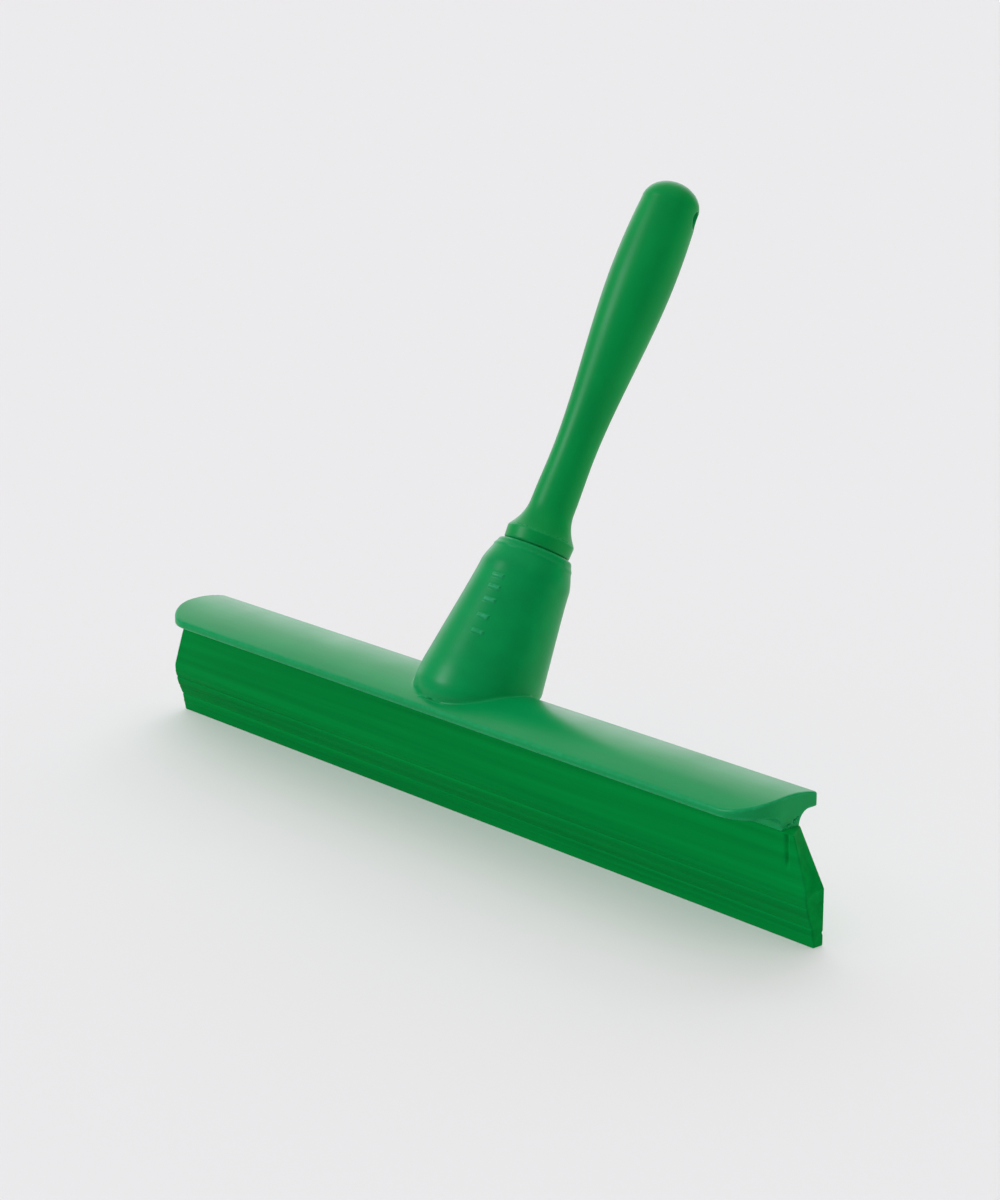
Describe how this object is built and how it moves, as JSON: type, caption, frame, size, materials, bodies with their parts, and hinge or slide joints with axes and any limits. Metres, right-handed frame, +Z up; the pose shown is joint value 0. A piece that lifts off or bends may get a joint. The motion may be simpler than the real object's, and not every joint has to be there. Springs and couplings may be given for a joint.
{
  "type": "window cleaning squeegee",
  "caption": "Hand squeegee: thick moulded rubber blade under a crowned head with a leaning conical socket and a screw-in grip with a hanging hole.",
  "frame": {"origin": "middle of the blade's flat wiping edge, which is the squeegee's lowest face", "axes": "+X along the blade, +Y the side the handle leans to, +Z up from the wiping edge to the head"},
  "size_m": [0.4, 0.152, 0.258],
  "materials": {
    "head_plastic": "satin moulded green polypropylene",
    "blade_rubber": "smooth green thermoplastic rubber",
    "handle_plastic": "satin moulded green polypropylene"
  },
  "bodies": {
    "head": {"head_body": "head_plastic", "blade_root": "blade_rubber"},
    "lip": {"blade_lip": "blade_rubber"},
    "handle": {"mini_handle": "handle_plastic"}
  },
  "joints": [
    {"name": "blade_flex", "type": "hinge", "parent": "head", "child": "lip", "pos_m": [0, -0.0027, 0.0267], "axis": [1, 0, 0], "range_deg": [-20, 20], "stiffness_Nm_per_rad": 1.15},
    {"name": "handle_unscrew", "type": "slide", "parent": "head", "child": "handle", "axis": [0, 0.4863, 0.8738], "range_m": [0, 0.045]}
  ]
}
